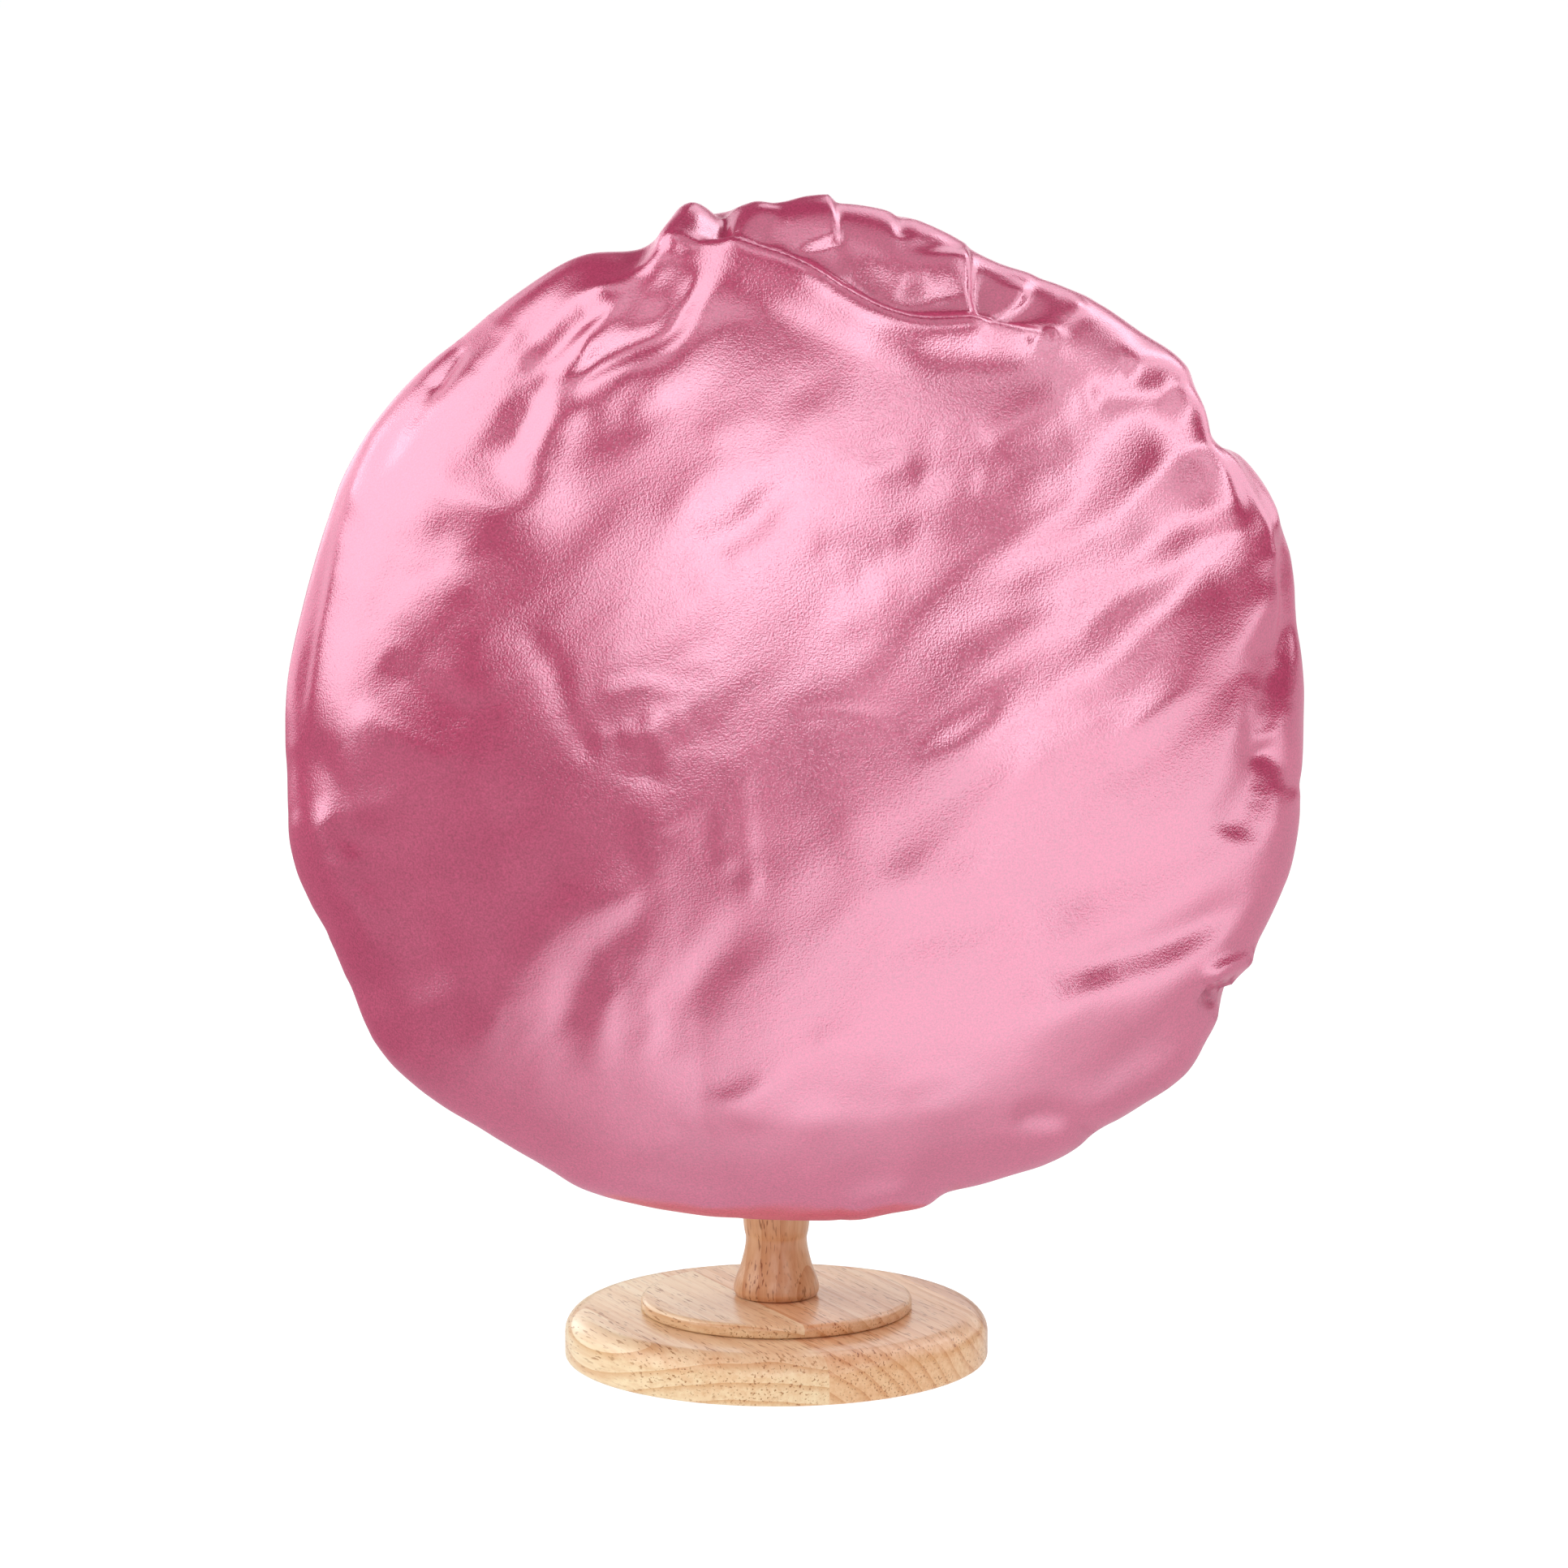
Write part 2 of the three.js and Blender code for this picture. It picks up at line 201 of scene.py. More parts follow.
# Folds of the front, as seen from the front, in millimetres right of and above the crown's centre.
# path is the fold's line. It stands out by height, or sinks where that is negative, and falls away over
# left and right, the distances on the two sides of the way along its line.
Fold = namedtuple("Fold", "name path height left right")
BROAD_FORMS = (
    Fold("pouch", ((-30, -128), (33, -124), (111, -106)), 4, 46, 30),
    Fold("long ridge", ((108, 116), (84, 92), (63, 62), (40, 36), (24, 12), (12, -6)), 1, 18, 18),
    Fold("right ridge", ((150, 46), (132, 27), (112, 4), (82, -14), (48, -20)), 1.2, 14, 14),
    Fold("left shoulder", ((-116, 50), (-110, 30), (-100, 5)), 1, 14, 14),
    Fold("lower left hollow", ((-140, -30), (-130, -60), (-118, -94)), -4, 16, 20),
)
TOP_FOLDS = (
    Fold(
        "lip under the ruffle",
        ((-37, 156), (-20, 155), (-2, 149), (20, 138), (37, 132), (59, 131), (85, 127)),
        6,
        3,
        10,
    ),
    Fold(
        "hollow behind the lip",
        ((-26, 162), (0, 158), (20, 146), (38, 138), (62, 139), (86, 133)),
        -7,
        12,
        6,
    ),
    Fold("ruffle's left swell", ((-7, 165), (6, 156), (19, 146)), 1.5, 9, 10),
    Fold("ruffle's middle hollow", ((44, 162), (46, 148), (49, 138)), -1.5, 10, 9),
    Fold("top peak", ((10, 177), (12, 168), (14, 158)), 3, 2, 18),
    Fold("ruffle notch", ((36, 172), (37, 160)), -1.2, 3, 3),
    Fold("ruffle edge", ((58, 160), (59, 150), (59.5, 140), (60, 132)), 3.5, 2, 16),
    Fold("flap edge", ((80, 148), (76, 142), (68, 137), (60, 133)), 2.5, 2, 9),
    Fold("twisted tip", ((-32, 176), (-35, 164), (-40, 154)), 4.5, 5, 7),
    Fold("pit by the tip", ((-24, 172), (-25, 164), (-24, 158)), -4.5, 4, 4),
    Fold("lobe right of the tip", ((-10, 174), (-16, 164), (-24, 155)), 2, 7, 5),
    Fold("corner line", ((98, 139), (90, 133), (84, 127)), 1.5, 3, 5),
    Fold("corner crease", ((86, 128), (78, 122)), -1, 2.5, 3),
)
UPPER_LEFT_FOLDS = (
    Fold(
        "bank over the dark streak",
        (
            (-127, 68), (-114, 73), (-96, 69), (-86, 74), (-82, 92),
            (-75, 106), (-60, 111), (-42, 115), (-22, 134),
        ),
        2,
        8,
        10,
    ),
    Fold("fork of the dark streak", ((-93, 88), (-88, 96), (-84, 106)), -0.8, 4, 4),
    Fold("second ridge", ((-39, 157), (-51, 144), (-64, 130), (-75, 119)), 3, 5, 5),
    Fold("second valley", ((-28, 149), (-38, 138), (-44, 129), (-61, 119), (-80, 108)), -2, 5, 4),
    Fold("edge ridge", ((-38, 166), (-48, 154), (-59, 144), (-71, 138)), 3, 5, 5),
    Fold("third valley", ((-46, 150), (-61, 136), (-78, 124), (-91, 116)), -2.5, 6, 6),
    Fold("shoulder valley", ((-102, 134), (-118, 116), (-132, 98), (-142, 79)), -2, 6, 7),
    Fold("shoulder ridge", ((-91, 130), (-106, 111), (-117, 90), (-123, 71)), 1, 8, 8),
    Fold("shoulder dart", ((-113, 126), (-118, 118), (-123, 109)), -1.5, 3, 3),
)
RIGHT_FOLDS = (
    Fold("streak in the long valley", ((93, 106), (76, 98), (62, 89)), 0.7, 6, 7),
    Fold("corner valley", ((97, 105), (114, 106), (127, 108)), -1.3, 5, 5),
    Fold("corner ridge", ((108, 115), (124, 117), (133, 110)), 1.5, 6, 7),
    Fold("front pleat", ((126, 108), (133, 99), (137, 89), (140, 78), (143, 60)), 3, 4, 10),
    Fold("side pleat", ((128, 110), (136, 98), (144, 83), (150, 63), (155, 47), (161, 22)), 4, 3.5, 10),
    Fold("far pleat", ((146, 91), (153, 79), (155, 69), (157, 56)), 2.5, 3, 6),
    Fold("side hollow", ((158, 52), (162, 29), (158, 8)), -1.8, 6, 8),
    Fold("pinch from above", ((166, 34), (161, 11), (157, -8)), -1.3, 4, 7),
    Fold("pinch from below", ((157, -8), (164, -18), (169, -28)), -1.5, 4, 5),
    Fold("pinch tail", ((157, -8), (151, -25), (144, -41)), -1.8, 7, 9),
    Fold("right long ridge", ((36, -14), (73, 2), (111, 26), (133, 55)), 1.1, 13, 11),
    Fold("right swoosh", ((17, -17), (20, -39), (29, -52), (46, -56), (71, -51)), 0.8, 9, 8),
    Fold("soft valley", ((33, -69), (73, -61), (114, -50), (157, -30)), -1.0, 11, 11),
    Fold("pucker valley", ((92, -84), (125, -74), (152, -62)), -1.7, 7, 8),
    Fold("pucker ridge", ((70, -99), (114, -85), (138, -76), (160, -56)), 2.0, 8, 12),
    Fold("pucker pocket", ((135, -90), (140, -94), (146, -91)), -5, 4, 4),
    Fold("pocket rim", ((134, -87), (141, -83), (152, -80)), 2.5, 3, 4),
    Fold("valley below the pucker", ((71, -126), (100, -115), (125, -105), (145, -95)), -1.2, 11, 9),
    Fold("bottom right ridge", ((81, -143), (108, -127), (135, -109)), 2.5, 8, 8),
)
LOWER_FOLDS = (
    Fold("bottom lobe", ((14, -166), (33, -160), (50, -168)), 2.5, 5, 8),
    Fold("bottom left lobe", ((-80, -155), (-52, -158), (-18, -168)), 1.5, 5, 9),
    Fold("bottom right notch", ((101, -139), (87, -132), (71, -132)), -2, 4, 5),
    Fold("lower left ridge", ((-102, -115), (-91, -88), (-75, -69), (-48, -54)), 1.8, 10, 16),
    Fold("low middle ridge", ((-63, -121), (-65, -93), (-59, -72)), 0.7, 6, 7),
    Fold("low middle valley", ((-40, -113), (-35, -91), (-21, -72), (-13, -61)), -1, 8, 10),
    Fold("low left valley", ((-78, -110), (-70, -80), (-51, -63)), -0.8, 6, 7),
    Fold("arc crease", ((-26, -47), (-20, -44), (-14, -47), (-14, -58)), 0.5, 2.5, 3.5),
    Fold("hooked crumple", ((-58, -5), (-48, -2), (-46, 5)), 0.4, 2.5, 4),
    Fold("upright crumple", ((-38, 6), (-35, -5)), 0.4, 2.5, 3),
    Fold("flat crumple", ((-66, 7), (-51, 12), (-36, 10)), 0.35, 3, 5),
    Fold("slant crumple", ((-76, 4), (-64, -12)), -0.4, 3, 4),
    Fold("right crumple", ((0, 2), (17, 3), (32, 0)), -0.4, 2.5, 4),
    Fold("short crumple", ((-16, -28), (-14, -42)), 0.4, 2.5, 4),
    Fold("left crumple", ((-88, 29), (-78, 16), (-75, 3)), -0.5, 4, 5),
)
LEFT_FOLDS = (
    Fold("panel edge", ((-145, 90), (-157, 63), (-162, 38), (-165, 12), (-166, -6)), -0.9, 3, 4),
    Fold("finger valley", ((-137, 20), (-123, 10), (-105, 0)), -0.9, 5, 7),
    Fold("wedge ridge", ((-147, 2), (-129, -7), (-108, -15)), 0.9, 5, 8),
    Fold("dark valley", ((-163, -8), (-152, -26), (-142, -45)), -1.4, 7, 9),
    Fold("bright ridge", ((-163, -30), (-148, -52), (-136, -76)), 1.6, 8, 10),
    Fold("lower valley", ((-156, -63), (-145, -85), (-122, -106)), -1.4, 7, 8),
)
FOLDS = BROAD_FORMS + TOP_FOLDS + UPPER_LEFT_FOLDS + RIGHT_FOLDS + LOWER_FOLDS + LEFT_FOLDS
FOLD_MARGIN = 3  # times its fall, beyond which a fold adds next to nothing
FOLD_END_FADE = (-0.1, 0.2)  # of its length, over which a fold fades in at each end

# Small crumples strewn over places of the front. Each patch has count short folds within about reach of its
# centre, of about the given length, height and fall, that lie along lean degrees from level, give or take
# spread.
Patch = namedtuple("Patch", "name centre reach count length height fall lean spread")
CRUMPLES = (
    Patch("middle", (-45, -10), (40, 38), 50, 12, 0.16, 3, 60, 70),
    Patch("lower left", (-55, -85), (45, 40), 34, 24, 0.28, 4.5, 65, 30),
    Patch("left edge", (-148, -60), (10, 36), 20, 16, 0.35, 4, -50, 30),
    Patch("left light", (-130, 40), (24, 50), 22, 30, 0.2, 5, -40, 25),
    Patch("upper left", (-90, 110), (40, 30), 20, 30, 0.35, 4.5, 50, 12),
    Patch("right", (110, 20), (45, 60), 26, 50, 0.3, 6, 35, 15),
    Patch("right edge", (155, 10), (8, 55), 16, 24, 0.4, 4, 85, 20),
    Patch("top", (30, 150), (60, 12), 12, 12, 0.25, 4, 75, 35),
    Patch("middle top", (0, 80), (80, 40), 20, 26, 0.35, 6, 20, 30),
    Patch("bottom", (20, -130), (90, 20), 20, 30, 0.4, 6, 10, 25),
)
CRUMPLE_SEED = 7
CRUMPLE_SCATTER = 0.5  # of the patch's reach, the usual distance of a crumple from its centre
CRUMPLE_HALVES = (0.3, 0.7)  # of the patch's length, half of a crumple's
CRUMPLE_BOW = 0.3  # of that half, the most that its middle bows
CRUMPLE_HEIGHTS = (0.5, 1.3)
CRUMPLE_FALLS = (0.6, 1.5)

# Waves of the whole cloth, as noise of a given size and height. They are stretched along lean degrees from
# level, as seen from the front.
Ripple = namedtuple("Ripple", "name size height lean stretch")
RIPPLES = (
    Ripple("soft waves", 46, 0.45, 0, 1),
    Ripple("long streaks", 17, 0.3, 38, 5),
    Ripple("cross streaks", 12, 0.14, 58, 3),
    Ripple("fine streaks", 7, 0.07, 34, 6),
)
NOISE_START = np.array([0, 0, 0.5])
NOISE_STEP = np.array([7.3, 3.1, 0])  # from one ripple's noise to the next one's

# Gathers run out from the rim. They are uneven degrees nearer or further apart by turns.
Wave = namedtuple("Wave", "name count height uneven start end")
FOLD_REACH = 0.05  # rings that a narrow fold carries on behind the widest one
FOLD_REACH_BY_FALL = 0.0125  # and more for each millimetre of its fall
FOLD_DRIFT = 25.0  # degrees that folds veer sideways in one ring there
RIPPLE_FADE = 0.3  # rings ahead of the rim over which the ripples flatten
GATHER_FADE = 0.2  # and the gathers
GATHER_SWING = 0.7  # of the quick swing in their spacing against the slow one
GATHER_CHANGE = 0.3  # how much of their height comes and goes round the rim
GATHERS = (
    Wave("deep gathers", 19, 4.6, 4, 1.1, 1.65),
    Wave("fine gathers", 53, 2.0, -2, 1.35, 1.8),
)


def smooth(value, low, high):
    share = np.clip((value - low) / (high - low), 0, 1)
    return share * share * (3 - 2 * share)


def bell(distance, spread):
    return np.exp(-((distance / spread) ** 2))


def up_axis(lean):
    return np.array([0.0, np.sin(np.radians(lean)), np.cos(np.radians(lean))])


def back_axis(lean):
    return np.array([0.0, np.cos(np.radians(lean)), -np.sin(np.radians(lean))])


def spoke(angle, lean):
    """Directions from a ring's centre at angles clockwise from its top, seen from the front."""
    right = np.array([1.0, 0.0, 0.0])
    turn = np.radians(angle)[:, None]
    return np.cos(turn) * up_axis(lean) + np.sin(turn) * right


band_axis = back_axis(BAND_LEAN)
band_centre = up_axis(BAND_LEAN) * (HEAD_RADIUS + PIECE_GAP - BAND_INNER_RADIUS) + (0, 0, HEAD_CENTRE_Z)


def outline_rise(angle):
    rise = np.zeros_like(angle)
    for lump in OUTLINE:
        away = (angle - lump.at + 180) % 360 - 180
        rise += lump.rise * bell(away, lump.spread)
    return rise


def bag_point(angle, ring):
    """The smooth bag. ring runs from 0 at the front centre through 1 at the widest ring to 2 at the rim."""
    rise = outline_rise(angle)
    radial = spoke(angle, CROWN_LEAN)
    back = back_axis(CROWN_LEAN)
    turn = (np.minimum(ring, 1) * np.pi / 2)[:, None]
    out = CROWN_RADIUS + rise[:, None] * np.sin(turn) ** LUMP_REACH
    front = CROWN_CENTRE + radial * np.sin(turn) * out - back * FRONT_DEPTH * np.cos(turn)

    top_share = (1 + np.cos(np.radians(angle))) / 2
    reach = REAR_REACH_BOTTOM + (REAR_REACH_TOP - REAR_REACH_BOTTOM) * top_share
    rim_spoke = spoke(angle, BAND_LEAN)
    rim_radius = BAND_INNER_RADIUS + BAND_THICKNESS + BAND_RUCHE + PIECE_GAP
    widest = CROWN_CENTRE + radial * (CROWN_RADIUS + rise[:, None])
    rim = band_centre + rim_spoke * rim_radius + band_axis * (RIM_BACK - BAND_HALF_LENGTH)
    swell = widest + back * reach[:, None]
    curl = rim + rim_spoke * CURL_OUT + band_axis * CURL_BACK
    t = np.clip(ring - 1, 0, 1)[:, None]
    s = 1 - t
    rear = s**3 * widest + 3 * s * s * t * swell + 3 * s * t * t * curl + t**3 * rim
    return np.where(ring[:, None] <= 1, front, rear)


def bag_normal(angle, ring):
    near = np.maximum(ring - 0.01, 0.002)
    far = np.minimum(ring + 0.01, 2)
    middle = (near + far) / 2
    outward = bag_point(angle, far) - bag_point(angle, near)
    clockwise = bag_point(angle + 1, middle) - bag_point(angle - 1, middle)
    normal = np.cross(clockwise, outward)
    return normal / np.linalg.norm(normal, axis=1, keepdims=True)


def smooth_path(points, steps=6):
    """A Catmull-Rom line through the points."""
    p = np.array(points, float)
    p = np.vstack([2 * p[0] - p[1], p, 2 * p[-1] - p[-2]])
    line = []
    for i in range(1, len(p) - 2):
        for t in np.arange(steps) / steps:
            line.append(
                0.5
                * (
                    2 * p[i]
                    + (p[i + 1] - p[i - 1]) * t
                    + (2 * p[i - 1] - 5 * p[i] + 4 * p[i + 1] - p[i + 2]) * t**2
                    + (3 * p[i] - p[i - 1] - 3 * p[i + 1] + p[i + 2]) * t**3
                )
            )
    line.append(p[-2])
    return np.array(line)


def fold_height(fold, x, z):
    """Height of one fold at places on the front view, by their distance from its line."""
    line = smooth_path(fold.path)
    margin = FOLD_MARGIN * max(fold.left, fold.right)
    near = (x > line[:, 0].min() - margin) & (x < line[:, 0].max() + margin)
    near &= (z > line[:, 1].min() - margin) & (z < line[:, 1].max() + margin)
    place = np.stack([x[near], z[near]], 1)
    best = np.full(len(place), np.inf)
    across = np.zeros(len(place))
    share = np.zeros(len(place))
    lengths = np.linalg.norm(np.diff(line, axis=0), axis=1)
    starts = np.concatenate([[0], np.cumsum(lengths)])
    for i, length in enumerate(lengths):
        along = (line[i + 1] - line[i]) / length
        side = np.array([-along[1], along[0]])
        offset = place - line[i]
        run = offset @ along
        inside = np.clip(run, 0, length)
        away = np.hypot(offset @ side, run - inside)
        closer = away < best
        best[closer] = away[closer]
        across[closer] = (offset @ side)[closer]
        share[closer] = (starts[i] + inside[closer]) / starts[-1]
    left_share = (across / np.maximum(best, 1e-6) + 1) / 2
    fall = fold.right + (fold.left - fold.right) * np.clip(left_share, 0, 1)
    fade = smooth(share, *FOLD_END_FADE) * smooth(1 - share, *FOLD_END_FADE)
    height = np.zeros(len(x))
    height[near] = fold.height * fade * bell(best, fall)
    return height


def crumples():
    """Short seeded folds, strewn over their patches."""
    chance = np.random.default_rng(CRUMPLE_SEED)
    folds = []
    for patch in CRUMPLES:
        for _ in range(patch.count):
            middle = np.array(patch.centre) + chance.normal(0, CRUMPLE_SCATTER, 2) * patch.reach
            turn = np.radians(patch.lean + chance.uniform(-patch.spread, patch.spread))
            way = np.array([np.cos(turn), np.sin(turn)])
            half = patch.length * chance.uniform(*CRUMPLE_HALVES) * way
            bow = chance.uniform(-CRUMPLE_BOW, CRUMPLE_BOW) * np.array([-half[1], half[0]])
            height = patch.height * chance.uniform(*CRUMPLE_HEIGHTS) * chance.choice((-1, 1))
            falls = patch.fall * chance.uniform(*CRUMPLE_FALLS, 2)
            folds.append(Fold(patch.name, (middle - half, middle + bow, middle + half), height, *falls))
    return folds


def ripple_height(places):
    """Waves of the whole cloth, as noise through its smooth bag."""
    height = np.zeros(len(places))
    for i, ripple in enumerate(RIPPLES):
        turn = np.radians(ripple.lean)
        along = (places[:, 0] * np.cos(turn) + places[:, 2] * np.sin(turn)) / ripple.stretch
        across = places[:, 2] * np.cos(turn) - places[:, 0] * np.sin(turn)
        samples = np.stack([along, places[:, 1], across], 1) / ripple.size + NOISE_START + i * NOISE_STEP
        height += [ripple.height * noise.noise(Vector(sample)) for sample in samples]
    return height


def relief(angle, ring):
    """Folds carry on over the widest ring and fade behind it, where the rim's gathers take over."""
    view_radius = CROWN_RADIUS * np.sin(np.minimum(ring, 1) * np.pi / 2)
    drift = FOLD_DRIFT * np.maximum(ring - 1, 0) * np.sin(np.radians(3 * angle + 40))
    x = view_radius * np.sin(np.radians(angle + drift))
    z = view_radius * np.cos(np.radians(angle + drift))
    folds = np.zeros_like(x)
    for fold in FOLDS + tuple(crumples()):
        reach = FOLD_REACH + FOLD_REACH_BY_FALL * max(fold.left, fold.right)
        folds += fold_height(fold, x, z) * (1 - smooth(ring, 1.0, 1.0 + reach))
    folds += ripple_height(bag_point(angle, ring)) * smooth(2 - ring, 0, RIPPLE_FADE)
    swing = np.sin(np.radians(2 * angle)) + GATHER_SWING * np.sin(np.radians(7 * angle + 30))
    strength = 1 + GATHER_CHANGE * np.sin(np.radians(5 * angle + 70))
    for wave in GATHERS:
        crest = np.cos(np.radians(wave.count * (angle + wave.uneven * swing)))
        share = smooth(ring, wave.start, wave.end) * smooth(2 - ring, 0, GATHER_FADE)
        folds += wave.height * strength * crest * share
    return folds


def disc_grid(cells):
    """Angle and ring at the points of a square grid bent into a disc, row by row."""
    side = np.linspace(-1, 1, cells + 1)
    a, b = (g.ravel() for g in np.meshgrid(side, side))
    wide = np.abs(a) > np.abs(b)
    size = np.maximum(np.abs(a), np.abs(b))
    lean = np.where(wide, b, a) / np.maximum(size, 1e-9) * 45
    right_or_left = np.where(a > 0, 90 - lean, 270 + lean)
    top_or_bottom = np.where(b > 0, lean, 180 - lean)
    angle = np.where(wide, right_or_left, top_or_bottom)
    ring = np.where(size < FRONT_SHARE, size / FRONT_SHARE, 1 + (size - FRONT_SHARE) / (1 - FRONT_SHARE))
    return angle, ring


def lowest_near(values, cells, reach):
    """The lowest value within reach grid steps of each point."""
    grid = values.reshape(cells + 1, cells + 1)
    for axis in (0, 1):
        padded = np.pad(grid, [(reach, reach) if k == axis else (0, 0) for k in (0, 1)], mode="edge")
        layers = [np.take(padded, np.arange(cells + 1) + k, axis=axis) for k in range(2 * reach + 1)]
        grid = np.min(layers, axis=0)
    return grid.ravel()


def new_object(name, points, faces):
    mesh = bpy.data.meshes.new(name)
    mesh.from_pydata([tuple(p) for p in points], [], faces)
    mesh.validate()
    mesh.polygons.foreach_set("use_smooth", [True] * len(mesh.polygons))
    obj = bpy.data.objects.new(name, mesh)
    bpy.context.scene.collection.objects.link(obj)
    return obj


def grid_faces(index):
    """Quads between the neighbours of a square array of point numbers, facing the viewer in front."""
    a, b, c, d = index[:-1, :-1], index[:-1, 1:], index[1:, 1:], index[1:, :-1]
    return np.stack([a.ravel(), b.ravel(), c.ravel(), d.ravel()], 1)


def border(index):
    """Point numbers round the edge of a square array."""
    return np.concatenate([index[0, :-1], index[:-1, -1], index[-1, :0:-1], index[:0:-1, 0]])


def make_crown():
    angle, ring = disc_grid(GRID_CELLS)
    height = relief(angle, ring)
    normal = bag_normal(angle, ring)
    base = bag_point(angle, ring)
    outer = base + normal * height[:, None]
    index = np.arange(len(outer)).reshape(GRID_CELLS + 1, GRID_CELLS + 1)

    picked = index[::LINING_STEP, ::LINING_STEP]
    sunk = lowest_near(height, GRID_CELLS, LINING_STEP)[picked.ravel()] - WALL
    inner = base[picked.ravel()] + normal[picked.ravel()] * sunk[:, None]
    inner_index = np.arange(len(inner)).reshape(picked.shape) + len(outer)

    faces = grid_faces(index).tolist() + grid_faces(inner_index)[:, ::-1].tolist()
    outer_rim, inner_rim = border(index), border(inner_index)
    for j in range(len(inner_rim)):
        run = [outer_rim[(j * LINING_STEP + k) % len(outer_rim)] for k in range(LINING_STEP + 1)]
        faces.append([int(i) for i in run[::-1] + [inner_rim[j], inner_rim[(j + 1) % len(inner_rim)]]])
    return new_object("crown_cloth", np.vstack([outer, inner]) * MM, faces)


def make_band():
    """The rim's casing: a flat ring with rounded edges, puckered on its outer side."""
    around, across = BAND_POINTS_ROUND, BAND_POINTS_ACROSS
    angle = np.arange(around) * 360 / around
    pucker = sum(p.share * np.cos(np.radians(p.count * angle + p.turn)) for p in BAND_PUCKERS)
    outward = spoke(angle, BAND_LEAN)
    flat_power, thick_power = BAND_SQUARING
    points = []
    for t in np.arange(across) * 2 * np.pi / across:
        flat = np.sign(np.cos(t)) * abs(np.cos(t)) ** flat_power
        thick = np.sign(np.sin(t)) * abs(np.sin(t)) ** thick_power
        radius = BAND_INNER_RADIUS + BAND_THICKNESS / 2 * (1 + thick) + BAND_RUCHE * pucker * max(thick, 0)
        along = BAND_HALF_LENGTH * flat + BAND_EDGE_WAVE * pucker * flat
        points.append(band_centre + outward * radius[:, None] + band_axis * along[:, None])
    index = np.arange(across * around).reshape(across, around)
    faces = []
    for i in range(across):
        k = (i + 1) % across
        for j in range(around):
            m = (j + 1) % around
            faces.append([int(index[i, j]), int(index[k, j]), int(index[k, m]), int(index[i, m])])
    return new_object("band_ruche", np.array(points).reshape(-1, 3) * MM, faces)


def turned(name, profile, around=256):
    """A turned piece from its profile of radius and height, from the bottom of the axis to its top."""
    profile = np.array(profile, float)
    turn = np.arange(around) * 2 * np.pi / around
    points = []
    rows = []
    for radius, height in profile[1:-1]:
        rows.append(len(points) + np.arange(around))
        points += zip(radius * np.sin(turn), -radius * np.cos(turn), np.full(around, height))
    bottom, top = len(points), len(points) + 1
    points += [(0, 0, profile[0, 1]), (0, 0, profile[-1, 1])]
    faces = []
    for j in range(around):
        m = (j + 1) % around
        faces.append([bottom, int(rows[0][m]), int(rows[0][j])])
        faces.append([top, int(rows[-1][j]), int(rows[-1][m])])
        for low, high in zip(rows, rows[1:]):
            faces.append([int(low[j]), int(low[m]), int(high[m]), int(high[j])])
    return new_object(name, np.array(points) * MM, faces)


def arc(centre, radius_x, radius_z, start, end, steps):
    turn = np.radians(np.linspace(start, end, steps + 1))
    return list(zip(centre[0] + radius_x * np.cos(turn), centre[1] + radius_z * np.sin(turn)))


def make_base():
    radius, height = BASE_RADIUS, BASE_HEIGHT
    corner = (radius - BASE_SHOULDER_WIDTH, height - BASE_SHOULDER_DROP)
    profile = [(0, 0), (radius - 20, 0)]
    profile += arc((radius - BASE_FOOT_ROUND, BASE_FOOT_ROUND), BASE_FOOT_ROUND, BASE_FOOT_ROUND, -90, 0, 4)
    profile += arc(corner, BASE_SHOULDER_WIDTH, BASE_SHOULDER_DROP, 0, 90, 14)
    profile += [(STEP_RADIUS + 3, height), (STEP_RADIUS - 4, height), (0, height)]
    return turned("base_turning", profile)


def make_step():
    low = BASE_HEIGHT + PIECE_GAP
    high = low + STEP_HEIGHT
    edge = STEP_EDGE_ROUND
    profile = [(0, low), (STEP_RADIUS - 6, low), (STEP_RADIUS - 0.4, low), (STEP_RADIUS, low + 0.5)]
    profile += arc((STEP_RADIUS - edge, high - edge), edge, edge, 0, 90, 8)
    profile += [(STEP_RADIUS - 8, high), (20, high), (0, high)]
    return turned("step_turning", profile)


def make_post():
    low = BASE_HEIGHT + STEP_HEIGHT + 2 * PIECE_GAP
    high = HEAD_CENTRE_Z - HEAD_LOWER_ROUND - PIECE_GAP
    stretch = (high - low) / POST_PROFILE[-1].up
    shape = smooth_path([(section.radius, low + section.up * stretch) for section in POST_PROFILE], steps=8)
    return turned("post_turning", [(0, low), (8, low), *shape, (8, high), (0, high)], around=128)


def make_head():
    edge = HEAD_LOWER_ROUND
    profile = [(0, HEAD_CENTRE_Z - edge), (20, HEAD_CENTRE_Z - edge)]
    profile += arc((HEAD_RADIUS - edge, HEAD_CENTRE_Z), edge, edge, -90, 0, 6)[:-1]
    profile += arc((0, HEAD_CENTRE_Z), HEAD_RADIUS, HEAD_RADIUS, 0, 88, 30)
    return turned("head_turning", profile + [(0, HEAD_CENTRE_Z + HEAD_RADIUS)])


